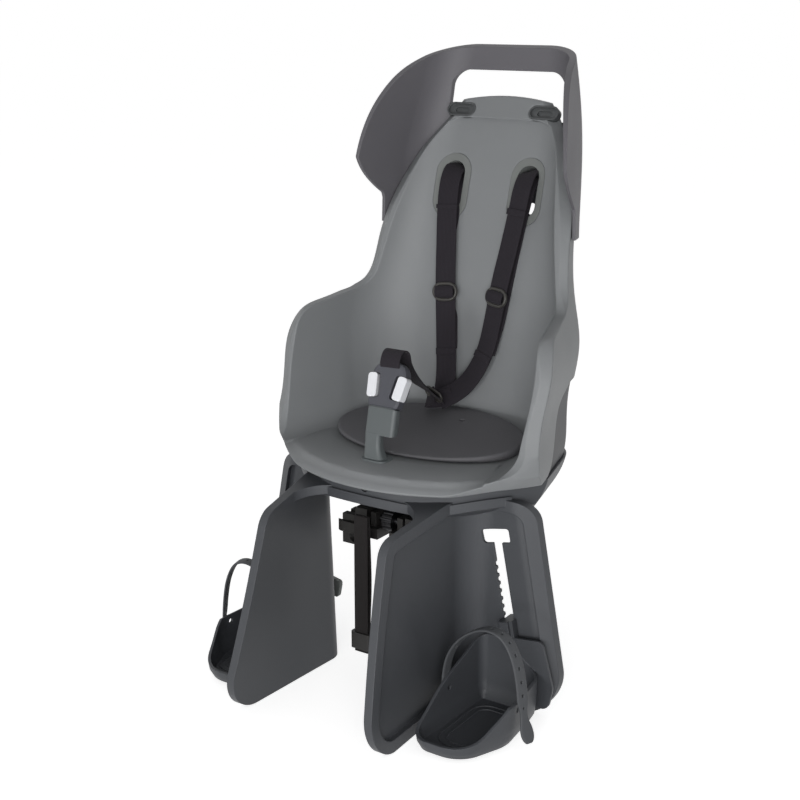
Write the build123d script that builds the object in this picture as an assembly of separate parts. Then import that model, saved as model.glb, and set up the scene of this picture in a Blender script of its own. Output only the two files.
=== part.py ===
"""Rear child bicycle seat for a luggage rack: double-walled bucket, leg guards, footrests and harness.

Millimetres, +Z up, the child faces -Y. The origin is the centre of the rack pad's underside.
"""
from build123d import *
import math
import os

os.makedirs("parts", exist_ok=True)

# Fits shared by all pieces
GAP = 0.4
FAR = 420.0

# Seat bucket: half-widths are taken at Y = 0, and the side walls flare towards the front
FLARE = 14.5
SHELL_WALL = 3.5
SHELL_TOP = 531.0
TOP_CROWN_RADIUS = 330.0
PAN_HEIGHT = 107.0
PAN_EDGE_RADIUS = 38.0
LIP_HEIGHT = 96.0
LIP_RADIUS = 212.0
LIP_CENTRE_Y = 84.0
LIP_GROW = 16.0
SKIRT_DEPTH = 42.0
# (height, back, half-width, corner radius) of the hollow that the child sits in
HOLLOW = [
    (PAN_HEIGHT, 128, 164, 95),
    (190, 139, 172, 92),
    (267, 148, 174, 88),
    (343, 161, 163, 74),
    (393, 172, 157, 66),
    (478, 199, 151, 54),
    (520, 213, 140, 46),
]
# (height, back, half-width, corner radius) of the bucket's outside
OUTSIDE = [
    (46, 150, 164, 88),
    (64, 158, 177, 84),
    (84, 166, 186, 80),
    (PAN_HEIGHT, 172, 189, 76),
    (190, 180, 191, 70),
    (262, 184, 191, 62),
    (300, 187, 182, 54),
    (343, 190, 178, 50),
    (393, 197, 176, 46),
    (478, 217, 162, 42),
    (540, 229, 145, 38),
]
# Front edge of the bucket in side view: (back, height) down the backrest
RIM = [(236, 562), (219, 532), (202, 502), (182, 470), (160, 430), (142, 393), (126, 343)]
ARM_FRONT = (-2, 264)
ARM_FOOT = (-44, 110)
# The rim's inner edge as (back, height, half-width), from the crown to the lip
RIM_BAND = [
    (219, 532, 50), (202, 502, 66), (182, 470, 88), (160, 430, 106), (142, 393, 119), (126, 343, 130),
    (114, 292, 148), (92, 281, 158), (40, 272, 168), (12, 264, 175), (-8, 240, 178), (-20, 200, 178),
    (-36, 140, 176), (-60, 112, 165),
]

# Line on the bucket's side where the front shell's skirt ends, as (back, height)
PARTING = [(8, LIP_HEIGHT), (38, 114), (54, 146), (70, 176), (104, 189), (150, 192)]
BEVELS = [(0.55, 0.4, 5), (1.3, 1.0, 15)]

# Arch in which the hollow ends under the crown: half-width and height at its foot, then at its top
HOLLOW_ARCH = [(118, 400), (103, 503)]
HOLLOW_ARCH_RADIUS = 62.0

# Rear shell; in front of KEEL_Y its underside rises towards the lip, and beside KEEL_X towards the arms
REAR_WALL = 3.0
CUP_FRONT = 24.0
KEEL_X = 85.0
KEEL_Y = -40.0
KEEL_RISE = 0.34
KEEL_SIDE_RISE = 0.45

# Head wing with carry handle: same section rule as the bucket, and an outline in side view
WING = [
    (360, 198, 183.5, 52),
    (393, 203, 182.5, 54),
    (460, 219.5, 180, 60),
    (532, 233.5, 172, 62),
    (606, 241, 158, 60),
]
# Thickness at each of these sections, which grows towards the carry handle
WING_WALLS = [4.0, 4.0, 4.5, 7.0, 10.0]
WING_TOP_EDGE = [(96, 454), (101, 476), (116, 514), (133, 539), (152, 558), (205, 584), (262, 605)]
WING_LOW_EDGE = [(96, 454), (103, 440), (120, 420), (141, 403)]
WING_TAIL_END = 364.0
GRIP_TOP = 563.0
GRIP_BOTTOM = 500.0
GRIP_HALF = 84.0

# Base frame: saddle under the bucket, front apron with an arch, and a leg guard each side
DECK_TOP = 92.0
DECK_BOTTOM = 38.0
BASE_WALL = 4.0
APRON_INSET = 20.0
ARCH_BEAD = (4.0, 12.0)
ARCH_CORNER = (38.0, -150.0)
ARCH_RADIUS = 52.0
ARCH_ROOF = 12.0
# The guard's inner wall at its front edge and at its rear corner, each with its lean
GUARD_INNER_X = 88.0
GUARD_INNER_LEAN = 0.088
GUARD_CORNER_X = 102.5
GUARD_CORNER_LEAN = -0.034
GUARD_FRONT_Y = -220.0
GUARD_REAR_Y = -28.0
GUARD_BENDS = (42.0, 20.0)
FLANGE_X = 181.0
FLANGE_LEAN = 0.194
FLANGE_ANGLE = 30.0
BEAD = 7.0
BEAD_WIDTH = 15.0
GUARD_SIDE = [(60, 76), (-86, 76), (-194, 57), (-262, -194), (60, -194)]
GUARD_SIDE_RADII = [1, 60, 26, 46, 1]
GUARD_FRONT = [(-60, 76), (189, 76), (240, -195), (-60, -195)]
GUARD_FRONT_RADII = [1, 32, 50, 1]

# Footrest height slot in the guard's rear wall
SLOT_TOP = (140.0, 25.0)
SLOT_LEAN = 0.2
SLOT_WIDTH = 13.0
SLOT_LENGTH = 186.0
SLOT_ENTRY = (37.0, 18.0)
TOOTH_PITCH = 10.0
TOOTH_DEPTH = 2.5

# Harness guides through both shells, and the two sockets in the crown
GUIDE_PLACE = (56.0, 178.6, 414.0)
GUIDE_LEAN = 17.6
GUIDE_SIZE = (88.0, 50.0)
GUIDE_HOLE = (68.0, 32.0)
GUIDE_DEPTH = 26.0
GUIDE_FLANGE = 4.0
SOCKET_PLACE = (62.0, 208.3, 513.0)
SOCKET_LEAN = 29.5
SOCKET_SIZE = (43.0, 19.0)
SOCKET_HOLE = (22.0, 8.0)
SOCKET_DEPTH = 9.0

# Seat pad
PAD_HALF = (133.0, 86.0)
PAD_CENTRE_Y = 38.0
PAD_TOP = 121.0
PAD_TILT = 5.5
PAD_EDGE = 7.0
PAD_VENT = (24.0, 79.0)

# Crotch post and harness buckle; the buckle stands on the post and leans back
POST_PLACE = (0.0, -74.0)
BUCKLE_LEAN = 23.0
BUCKLE_PLACE = (0.0, -66.0, 167.0)
BUCKLE_SIZE = (52.0, 17.0, 70.0)
BUCKLE_FOOT = 6.0
TONGUE_SIZE = (33.0, 13.0, 5.0)
BUTTON_SIZE = (13.0, 12.0, 30.0)
BUTTON_STROKE = 3.0
POST_BLOCK = (42.0, 15.0)
POST_STEM = (24.0, 15.0)

# Webbing
WEB_WIDTH = 25.0
WEB_THICK = 2.4
SLIDER_SIZE = (36.0, 26.0, 9.0)
CENTRE_WIDTH = 20.0
# Shoulder straps from the top of their guides down to the point where they meet
LEFT_STRAP = [
    (-56, 198, 438), (-56, 182, 434), (-54, 163, 398), (-44, 143, 298),
    (-34, 131, 202), (-27, 119, 150), (-27, 108, 140),
]
RIGHT_STRAP = [
    (56, 198, 438), (56, 182, 434), (54, 163, 398), (39, 143, 298),
    (29, 130, 206), (8, 117, 160), (-18, 103, 141),
]
# Strap from the shoulder straps' meeting point up over the buckle's bar
CENTRE_STOPS = [
    (-24, 98, 141), (-22, 86, 152), (-13, 36, 192), (-3, -12, 232),
    (0, -28, 240), (0, -38, 237), (0, -44, 224),
]

# Rack bracket, jaws and thumbwheel spindle
PAD_BLOCK = (150.0, 136.0, 14.0)
RACK_TUBE_RADIUS = 7.0
RACK_TUBE_X = 50.0
JAW_WIDTH = 28.0
SPINDLE_RADIUS = 4.0
SPINDLE_LENGTH = 104.0
SPINDLE_Y = -48.0
SPINDLE_Z = 22.0
WHEEL_RADIUS = 14.5
WHEEL_WIDTH = 14.0
RISER_SIZE = (100.0, 86.0)
RISER_Y = 20.0
BRACKET_BOLTS = [(-40, -12), (40, -12), (-40, 50), (40, 50)]
BOLT_RADIUS = 3.0
BOLT_HEAD = 5.5
BOLT_SINK = 7.0

# Screws that hold the two shells together
SCREW_RADIUS = 2.0
SCREW_HEAD = 5.0
SCREW_SPOTS = [(-92, 150), (92, 150), (-84, 330), (84, 330)]
LIP_SCREW_Z = 83.0

# Safety strap
SAFETY_WIDTH = 20.0
SAFETY_TOP = (-16.0, -92.0, 36.0)
SAFETY_BOTTOM = -138.0

# Footrest: heel cup with a floor smaller than its rim, and a panel beside the heel
TRAY_FLOOR = -189.0
TRAY_WALL = 3.5
TRAY_OUTLINE = [(127, -38), (119, -198), (196, -198), (224, -130), (214, -38)]
TRAY_RADII = [14, 28, 46, 60, 22]
# (height over the floor, inset) of the tray's wall
TRAY_LEVELS = [(0, 7.0), (8, 2.6), (22, 0.6), (130, 0.0)]
# The rim in side view from toe to heel, the heel in front view, and the panel in front view
TRAY_RIM = [(-215, -171), (-172, -168), (-133, -141), (-80, -117), (-38, -99)]
HEEL_RIM = [(104, -130), (124, -109), (150, -97), (172, -108), (196, -126), (238, -142)]
PANEL_OUTLINE = [(172, -97), (214, -92), (230, -150), (224, -180), (172, -180)]
PANEL_REAR = -37.5
STEM_HEIGHT = -95.0
STEM_LENGTH = 34.0
STEM_PAD = (20.0, 10.0, 38.0)
PAD_GAP = 1.6
CLIP_THICK = 6.0
FOOT_STRAP_WIDTH = 16.0
FOOT_STRAP_THICK = 3.0
FOOT_STRAP_Y = -112.0
STUD_RADIUS = 3.0
STRAP_STUDS = [(124, -146, 1), (223.5, -148, -1)]
# Foot strap in front view, from its inner end up over the foot to its tail
FOOT_STRAP_PATH = [
    (121, -156), (120.5, -116), (136, -84), (160, -63), (184, -54),
    (206, -62), (220, -88), (227, -116), (230, -146), (241, -180),
]


def rounded_u(station, inset=0.0):
    """Horizontal section of the bucket: straight back, flared sides, round rear corners."""
    height, back, half, corner = station
    slope = math.tan(math.radians(FLARE))
    back -= inset
    half -= inset / math.cos(math.radians(FLARE))
    front = -FAR
    outline = make_face(Polyline(
        (-(half - front * slope), front),
        (-(half - back * slope), back),
        (half - back * slope, back),
        (half - front * slope, front),
        close=True,
    ))
    rear_corners = outline.vertices().sort_by(Axis.Y)[-2:]
    return Pos(0, 0, height) * fillet(rear_corners, corner - inset)


def u_loft(stations, inset=0.0):
    return loft([rounded_u(s, inset) for s in stations])


def hollow_solid(inset=0.0):
    """The child's space, or a smaller or larger copy of it, with a rounded pan."""
    first = HOLLOW[0]
    stations = [(first[0] + inset, *first[1:])] + HOLLOW[1:]
    space = u_loft(stations, inset)
    pan = space.faces().sort_by(Axis.Z)[0]
    edges = [e for e in pan.edges() if e.center().Y > -FAR + 1]
    return fillet(edges, PAN_EDGE_RADIUS - inset) & hollow_arch(inset)


def hollow_arch(inset):
    """Everything under the arch that closes the hollow below the crown."""
    (foot, low), (shoulder, top) = HOLLOW_ARCH
    right = [(FAR, -FAR), (FAR, low - 70), (foot, low), (shoulder, top)]
    left = [(-x, z) for x, z in reversed(right)]
    outline = make_face(FilletPolyline(
        *right, *left, radius=[1, 1, 20, HOLLOW_ARCH_RADIUS, HOLLOW_ARCH_RADIUS, 20, 1, 1], close=True))
    if inset:
        outline = offset(outline, -inset)
    return extrude(Plane.XZ * outline, amount=2 * FAR, both=True)


def side_prism(outline, reach=FAR):
    """Solid whose outline is drawn in the Y-Z plane and runs along X."""
    return extrude(Plane.YZ * make_face(outline), amount=reach, both=True)


def front_prism(outline, reach=FAR):
    """Solid whose outline is drawn in the X-Z plane and runs along Y."""
    return extrude(Plane.XZ * make_face(outline), amount=reach, both=True)


def rim_prism(back=0.0, drop=0.0):
    """Everything behind the bucket's front edge, moved back and down for the inner faces."""
    kink = (RIM[-1][0] - 15, 283)
    upper = Spline(*RIM)
    lower = FilletPolyline(
        RIM[-1], kink, ARM_FRONT, ARM_FOOT, (-FAR, ARM_FOOT[1]),
        radius=[38, 34, 40])
    rest = Polyline((-FAR, ARM_FOOT[1]), (-FAR, -FAR), (FAR, -FAR), (FAR, 700), (RIM[0][0], 700), RIM[0])
    return Pos(0, back, -drop) * side_prism([upper, lower, rest])


def lip_face(height, grow, inset):
    """Plan outline of the front lip: round in front, wider by grow at the sides."""
    points = []
    for step in range(-8, 9):
        angle = math.radians(step * 10)
        radius = LIP_RADIUS - inset + grow * math.sin(angle) ** 2
        points.append((radius * math.sin(angle), LIP_CENTRE_Y - radius * math.cos(angle)))
    front = Spline(*points)
    sides = points[0][1]
    rear = Polyline(points[-1], (FAR, sides), (FAR, FAR), (-FAR, FAR), (-FAR, sides), points[0])
    return Pos(0, 0, height) * make_face([front, rear])


def plan_prism(inset=0.0):
    """Everything inside the front lip, which tucks in towards its lower edge."""
    low = lip_face(LIP_HEIGHT - 3, 0, inset)
    high = lip_face(PAN_HEIGHT + 4, LIP_GROW, inset)
    skirt = extrude(low, amount=-FAR)
    upper = extrude(high, amount=2 * FAR)
    return skirt + loft([low, high]) + upper


def bevel_prism(slope, drop, start):
    """Everything behind a rim that falls back and down towards the outside of the bucket."""
    points = [(y - slope * (w + start), z + drop * (w + start)) for y, z, w in RIM_BAND]
    edge = Spline(*points)
    first, last = points[0], points[-1]
    rest = Polyline(
        last, (-2 * FAR, last[1]), (-2 * FAR, -FAR), (FAR, -FAR),
        (FAR, 3 * FAR), (first[0], 3 * FAR), first)
    along = Vector(1, slope, -drop)
    side = extrude(Plane.YZ * make_face([edge, rest]), amount=FAR * along.length, dir=along)
    return side + mirror(side, about=Plane.YZ)


def crown_prism(inset=0.0):
    """Everything under the crowned top edge."""
    radius = TOP_CROWN_RADIUS - inset
    crown = Pos(0, SHELL_TOP - TOP_CROWN_RADIUS) * Circle(radius)
    low = Pos(0, SHELL_TOP - TOP_CROWN_RADIUS - FAR / 2) * Rectangle(2 * FAR, FAR)
    return extrude(Plane.XZ * (crown + low), amount=FAR, both=True)


def parting_prism():
    """Everything above and in front of the line where the rear shell begins."""
    wave = Spline(*PARTING, tangents=((1, 0), (1, 0)))
    skirt = [(y + SKIRT_DEPTH, z) for y, z in reversed(RIM)]
    rest = Polyline(
        PARTING[-1], *skirt, (RIM[0][0] + SKIRT_DEPTH, 700), (-FAR, 700), (-FAR, LIP_HEIGHT), PARTING[0])
    return side_prism([wave, rest])


def keel_wedge(lift=0.0):
    """The space under the bucket's front and its front corners, where the underside rises."""
    below = Pos(0, 0, -FAR) * Box(6 * FAR, 6 * FAR, 2 * FAR)
    level = OUTSIDE[0][0] + lift
    space = Part()
    for way in (-1, 0, 1):
        slope = Plane(origin=(way * KEEL_X, KEEL_Y, level), z_dir=(-way * KEEL_SIDE_RISE, KEEL_RISE, 1))
        space += slope * below
    return space


def mirrored(shape):
    return mirror(shape, about=Plane.YZ)


def sealed_stations(stations, lift):
    """The same sections with the lowest one raised, which leaves a floor."""
    first = stations[0]
    return [(first[0] + lift, *first[1:])] + stations[1:]


def band(stops, width, thick, across=(1, 0, 0)):
    """Flat strap through the stops, with its width along one direction."""
    sections = []
    for i, stop in enumerate(stops):
        before = Vector(*stops[max(i - 1, 0)])
        after = Vector(*stops[min(i + 1, len(stops) - 1)])
        place = Plane(origin=stop, x_dir=across, z_dir=(after - before).normalized())
        sections.append(place * Rectangle(width, thick))
    return loft(sections, ruled=True)


def trough(offset):
    """Leg space of the right guard; a positive offset moves its walls outwards."""
    sections = []
    for height, radius in zip((DECK_TOP + 20, -260), GUARD_BENDS):
        inner = GUARD_INNER_X - GUARD_INNER_LEAN * height - offset
        corner = GUARD_CORNER_X - GUARD_CORNER_LEAN * height - offset
        front = inner + (inner - corner) * (GUARD_FRONT_Y + FAR) / (GUARD_REAR_Y - GUARD_FRONT_Y)
        fold = FLANGE_X - FLANGE_LEAN * height
        rear = GUARD_REAR_Y + offset
        turn = math.radians(FLANGE_ANGLE)
        fold_x = fold - offset * math.tan(turn / 2)
        outline = make_face(Polyline(
            (front, -FAR), (corner, rear), (fold_x, rear),
            (fold_x + 90, rear + 90 * math.tan(turn)), (fold_x + 90, -FAR), close=True))
        corners = outline.vertices()
        bend = corners.sort_by_distance((corner, rear))[0]
        outline = fillet(bend, radius + offset)
        bend = outline.vertices().sort_by_distance((fold_x, rear))[0]
        outline = fillet(bend, 22 - offset)
        sections.append(Pos(0, 0, height) * outline)
    return loft(sections)


def guard_outlines(inset):
    """The guard's outlines in side and front view as prisms, or inset copies."""
    side = make_face(FilletPolyline(*GUARD_SIDE, radius=GUARD_SIDE_RADII, close=True))
    front = make_face(FilletPolyline(*GUARD_FRONT, radius=GUARD_FRONT_RADII, close=True))
    if inset:
        side = offset(side, -inset)
        front = offset(front, -inset)
    along_x = extrude(Plane.YZ * side, amount=FAR, both=True)
    along_y = extrude(Plane.XZ * front, amount=FAR, both=True)
    return along_x, along_y


def slot_cut():
    """T-shaped entry and toothed slot for the right footrest."""
    entry = Pos(0, 0) * RectangleRounded(*SLOT_ENTRY, 4)
    run = Pos(0, -SLOT_LENGTH / 2) * RectangleRounded(SLOT_WIDTH, SLOT_LENGTH, SLOT_WIDTH / 2 - 0.1)
    shape = entry + run
    tooth = Polyline((0, 0), (-TOOTH_DEPTH, -3), (-TOOTH_DEPTH, -6), (0, -7), close=True)
    for i in range(12):
        notch = make_face(tooth)
        shape += Pos(-SLOT_WIDTH / 2 + 0.1, -32 - i * TOOTH_PITCH) * notch
    lean = math.degrees(math.atan(SLOT_LEAN))
    placed = Plane.XZ * (Pos(*SLOT_TOP) * Rot(0, 0, lean) * shape)
    return Pos(0, GUARD_REAR_Y + BASE_WALL, 0) * extrude(placed, amount=22, both=True)


def make_seat_shell():
    hollow = hollow_solid()
    hollow_out = hollow_solid(-SHELL_WALL)
    body = (u_loft(OUTSIDE) - hollow) & rim_prism() & plan_prism() & crown_prism()
    core = (u_loft(OUTSIDE, SHELL_WALL) - hollow_out) & rim_prism(7, 5) & plan_prism(8) & crown_prism(5)
    for bevel in BEVELS:
        tool = bevel_prism(*bevel)
        body = body & tool
        core = core & (Pos(0, 5, -3) * tool)
    below = Box(2 * FAR, 2 * FAR, 3 * FAR) - parting_prism() - hollow_out
    shell = body - core - below
    for side in (-1, 1):
        shell -= guide_cut(side) + flange_cut(side) + socket_cut(side)
    return shell


def rear_skin():
    """The rear shell as a solid block, before it is hollowed."""
    skin = u_loft(OUTSIDE, SHELL_WALL + GAP) & plan_prism(CUP_FRONT) & crown_prism(9) & rim_prism(21, 17)
    return skin - keel_wedge()


def make_rear_shell():
    inner = u_loft(sealed_stations(OUTSIDE, REAR_WALL), SHELL_WALL + GAP + REAR_WALL)
    inner = (inner & plan_prism(CUP_FRONT + REAR_WALL) & crown_prism(12)) - keel_wedge(REAR_WALL)
    shell = rear_skin() - inner
    for side in (-1, 1):
        shell -= guide_cut(side)
    for place in screw_places():
        shell -= place * Cylinder(SCREW_RADIUS + GAP, 20)
    return shell


def make_head_wing():
    inside = loft([rounded_u(section, wall) for section, wall in zip(WING, WING_WALLS)])
    sheet = u_loft(WING) - inside
    top = Spline(*WING_TOP_EDGE)
    low = Spline(*WING_LOW_EDGE)
    rest = Polyline(
        WING_LOW_EDGE[-1], (143, 396), (143, WING_TAIL_END), (172, WING_TAIL_END),
        (206, 452), (262, 452), WING_TOP_EDGE[-1])
    outline = side_prism([top, low, rest])
    grip = FilletPolyline(
        (-GRIP_HALF - 5, GRIP_BOTTOM), (-GRIP_HALF, GRIP_TOP),
        (GRIP_HALF, GRIP_TOP), (GRIP_HALF + 5, GRIP_BOTTOM),
        radius=[6, 24, 24, 6], close=True)
    finger_gap = Pos(0, 200, 0) * front_prism(grip, 100)
    return (sheet & outline) - finger_gap


def arch_corner():
    """Roof beside the wheel arch, which runs in a round corner from the apron on to the right guard."""
    guard = guard_outlines(0)[0]
    roof = guard - Pos(0, 0, -ARCH_ROOF) * guard
    x, y = ARCH_CORNER
    plan = Pos(x + 32, y + 38) * Rectangle(64, 84) - Pos(x, y) * Circle(ARCH_RADIUS)
    return (roof & (Pos(0, 0, -FAR) * extrude(plan, amount=2 * FAR))) - trough(-BEAD)


def arch_bead():
    """Rolled edge along the apron's lower edge, over the wheel arch and the leg spaces."""
    out, tall = ARCH_BEAD
    drop = DECK_BOTTOM - OUTSIDE[0][0]
    strip = keel_wedge(drop + tall) - keel_wedge(drop)
    bead = (plan_prism(APRON_INSET - out) - plan_prism(APRON_INSET + 1)) & strip
    return bead & (Pos(0, -FAR, 0) * Box(2 * FLANGE_X, 2 * FAR + 2 * GUARD_REAR_Y, FAR))


def make_base_frame():
    saddle = u_loft([(DECK_BOTTOM, 146, 158, 88)] + OUTSIDE) & plan_prism(APRON_INSET)
    saddle -= keel_wedge(DECK_BOTTOM - OUTSIDE[0][0])
    seat = u_loft(sealed_stations(OUTSIDE, -GAP), SHELL_WALL) & plan_prism(CUP_FRONT - GAP)
    seat -= keel_wedge(-GAP)
    level = Pos(0, 0, DECK_TOP - 200) * Box(4 * FAR, 4 * FAR, 400)
    frame = (saddle - seat) & level
    guard = trough(BASE_WALL) - trough(-BEAD)
    pocket = trough(0)
    for outline, inner in zip(guard_outlines(0), guard_outlines(BEAD_WIDTH)):
        guard = guard & outline
        pocket = pocket & inner
    guard -= pocket
    guard -= slot_cut()
    guard += arch_corner()
    frame = frame + arch_bead() + guard + mirrored(guard) - seat
    for place in BRACKET_BOLTS:
        frame -= Pos(*place, DECK_BOTTOM) * Cylinder(BOLT_RADIUS + GAP, 30)
    return frame - lip_screw() * Cylinder(SCREW_HEAD + GAP, 20)


def guide_plane(side):
    lean = math.radians(GUIDE_LEAN)
    x, y, z = GUIDE_PLACE
    return Plane(origin=(side * x, y, z), x_dir=(1, 0, 0), z_dir=(0, -math.cos(lean), math.sin(lean)))


def socket_plane(side):
    lean = math.radians(SOCKET_LEAN)
    x, y, z = SOCKET_PLACE
    return Plane(origin=(side * x, y, z), x_dir=(1, 0, 0), z_dir=(0, -math.cos(lean), math.sin(lean)))


def upright_slot(height, width):
    return Rot(0, 0, 90) * SlotOverall(height, width)


def make_guide(side):
    """Sleeve that lines the hole through both shells, with an oval flange flush with the backrest."""
    flange = Pos(0, 0, -GUIDE_FLANGE) * extrude(upright_slot(*GUIDE_SIZE), amount=30)
    tube = upright_slot(GUIDE_HOLE[0] + 6, GUIDE_HOLE[1] + 6)
    sleeve = Pos(0, 0, -GUIDE_DEPTH) * extrude(tube, amount=GUIDE_DEPTH)
    hole = Pos(0, 0, -GUIDE_DEPTH - 5) * extrude(upright_slot(*GUIDE_HOLE), amount=GUIDE_DEPTH + 60)
    return guide_plane(side) * (flange + sleeve - hole) - hollow_solid()


def guide_cut(side):
    size = (GUIDE_HOLE[0] + 6 + 2 * GAP, GUIDE_HOLE[1] + 6 + 2 * GAP)
    return guide_plane(side) * (Pos(0, 0, -70) * extrude(upright_slot(*size), amount=120))


def flange_cut(side):
    size = (GUIDE_SIZE[0] + 2 * GAP, GUIDE_SIZE[1] + 2 * GAP)
    return guide_plane(side) * (Pos(0, 0, -GUIDE_FLANGE - GAP) * extrude(upright_slot(*size), amount=60))


def make_socket(side):
    cup = Pos(0, 0, -SOCKET_DEPTH) * extrude(SlotOverall(*SOCKET_SIZE), amount=SOCKET_DEPTH)
    dish = Pos(0, 0, -4) * extrude(SlotOverall(SOCKET_SIZE[0] - 4, SOCKET_SIZE[1] - 4), amount=10)
    bore = Pos(0, 0, -SOCKET_DEPTH + 2) * extrude(SlotOverall(*SOCKET_HOLE), amount=30)
    return socket_plane(side) * (cup - dish - bore)


def socket_cut(side):
    shape = SlotOverall(SOCKET_SIZE[0] + 2 * GAP, SOCKET_SIZE[1] + 2 * GAP)
    return socket_plane(side) * (Pos(0, 0, -SOCKET_DEPTH - GAP) * extrude(shape, amount=40))


def make_seat_pad():
    """Oval pad that fits the pan behind the crotch post, thicker at the rear and vented."""
    oval = Pos(0, PAD_CENTRE_Y, PAN_HEIGHT - 20) * extrude(Ellipse(*PAD_HALF), amount=60)
    top = Pos(0, PAD_CENTRE_Y, PAD_TOP) * Rot(PAD_TILT, 0, 0)
    oval -= top * (Pos(0, 0, 100) * Box(FAR, FAR, 200))
    oval = fillet(oval.faces().sort_by(Axis.Z)[-1].edges(), PAD_EDGE)
    vent = Pos(*PAD_VENT) * Circle(5)
    return (oval & hollow_solid(GAP)) - extrude(vent, amount=FAR)


def make_crotch_post():
    """Foot on the pan, a stem at its left and a wider block, with a tongue that enters the buckle."""
    left = (POST_STEM[0] - POST_BLOCK[0]) / 2
    foot = extrude(Pos(left / 2, 0) * RectangleRounded(36, 26, 8), amount=4)
    stem = loft([
        Pos(left * 0.7, 0, 3) * RectangleRounded(POST_STEM[0] + 5, POST_STEM[1] + 4, 6),
        Pos(left, 1, 14) * RectangleRounded(*POST_STEM, 5),
        Pos(left, 3, 36) * RectangleRounded(*POST_STEM, 5),
    ])
    post = Pos(*POST_PLACE, PAN_HEIGHT + GAP) * (foot + stem)
    lower = Pos(POST_PLACE[0], POST_PLACE[1] + 3, PAN_HEIGHT + 35) * RectangleRounded(*POST_BLOCK, 5)
    upper = buckle_frame(Pos(0, 0, BUCKLE_FOOT - GAP) * RectangleRounded(*POST_BLOCK, 5))
    wide, deep, tall = TONGUE_SIZE
    tongue = buckle_frame(Pos(0, 0, BUCKLE_FOOT - 2 + tall / 2) * Box(wide, deep, tall + 4))
    return post + loft([lower, upper]) + tongue


def buckle_frame(shape):
    return Pos(*BUCKLE_PLACE) * Rot(-BUCKLE_LEAN, 0, 0) * shape


def button_solid(side, grow=0.0):
    wide, deep, tall = (v + 2 * grow for v in BUTTON_SIZE)
    body = RectangleRounded(wide, tall, 4 + grow)
    solid = Pos(0, deep / 2, 0) * extrude(Plane.XZ * body, amount=deep)
    return Pos(side * (BUCKLE_SIZE[0] / 2 - BUTTON_SIZE[0] / 2 + 0.6), -3, 32) * Rot(0, side * 8, 0) * solid


def make_buckle():
    """Buckle housing with a side opening for each release button and a bar for the webbing on top."""
    wide, deep, tall = BUCKLE_SIZE
    foot, top = BUCKLE_FOOT, tall - 6
    outline = FilletPolyline(
        (-21, foot), (21, foot), (wide / 2, 32), (22, top), (-22, top), (-wide / 2, 32),
        radius=[6, 6, 16, 19, 19, 16], close=True)
    body = extrude(Plane.XZ * make_face(outline), amount=deep / 2, both=True)
    body = chamfer(body.edges().filter_by(lambda e: abs(abs(e.center().Y) - deep / 2) < 0.1), 2.5)
    slot = Pos(0, 0, tall - 14) * Box(WEB_WIDTH + 3, 8, 40)
    pocket = Pos(0, 0, foot) * Box(*(v + 2 * GAP for v in TONGUE_SIZE[:2]), 2 * (TONGUE_SIZE[2] + GAP))
    body -= slot + pocket
    for side in (-1, 1):
        path = button_solid(side, GAP)
        for step in range(1, int(BUTTON_STROKE) + 2):
            path += Pos(-side * step, 0, 0) * button_solid(side, GAP)
        body -= path
    return buckle_frame(body)


def strap_stops(side):
    """Shoulder strap from its guide, down the backrest, to the point where both straps meet."""
    return LEFT_STRAP if side < 0 else RIGHT_STRAP


def make_shoulder_strap(side):
    return band(strap_stops(side), WEB_WIDTH, WEB_THICK)


def make_adjuster(side):
    """Three-bar adjuster that slides on the shoulder strap."""
    stops = strap_stops(side)
    upper, lower = Vector(*stops[3]), Vector(*stops[4])
    along = (upper - lower).normalized()
    middle = upper - along * 20
    place = Plane(origin=middle, x_dir=(1, 0, 0), z_dir=along)
    wide, tall, deep = SLIDER_SIZE
    frame = extrude(RectangleRounded(wide, deep + 2, 3), amount=tall / 2, both=True)
    frame -= Box(WEB_WIDTH + 2.5, WEB_THICK + 2, 80)
    frame -= Pos(0, -deep / 2, 0) * Box(WEB_WIDTH + 1, deep, tall - 11)
    return place * frame


def make_centre_strap():
    return band(CENTRE_STOPS, CENTRE_WIDTH, WEB_THICK)


def spindle_axis(radius, length):
    return Pos(0, SPINDLE_Y, SPINDLE_Z) * Rot(0, 90, 0) * Cylinder(radius, length)


def make_rack_bracket():
    """Pad on the rack, with a riser to the base frame, lugs for the spindle and a notch for each jaw."""
    wide, deep, thick = PAD_BLOCK
    block = extrude(RectangleRounded(wide, deep, 12), amount=thick)
    riser = Pos(0, RISER_Y, thick) * extrude(RectangleRounded(*RISER_SIZE, 8), amount=DECK_BOTTOM - thick)
    room = RectangleRounded(RISER_SIZE[0] - 28, RISER_SIZE[1] - 12, 6)
    room = Pos(0, RISER_Y, thick) * extrude(room, amount=60)
    bracket = block + (riser - room)
    for side in (-1, 1):
        bracket += Pos(side * 20, SPINDLE_Y, thick + 9) * Box(8, 24, 18)
        bracket -= Pos(side * (wide / 2 - 2), SPINDLE_Y, thick / 2) * Box(36, JAW_WIDTH + 1, 40)
    bracket -= Pos(0, SPINDLE_Y - 12, thick) * Box(WHEEL_WIDTH + 4, 2 * WHEEL_RADIUS + 28, 60)
    bracket -= spindle_axis(SPINDLE_RADIUS + GAP, 200)
    for place in BRACKET_BOLTS:
        bracket -= Pos(*place, 20) * Cylinder(BOLT_RADIUS + GAP, 80)
        bracket -= Pos(*place, 0) * Cylinder(BOLT_HEAD + GAP, 2 * BOLT_SINK)
    return bracket


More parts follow.
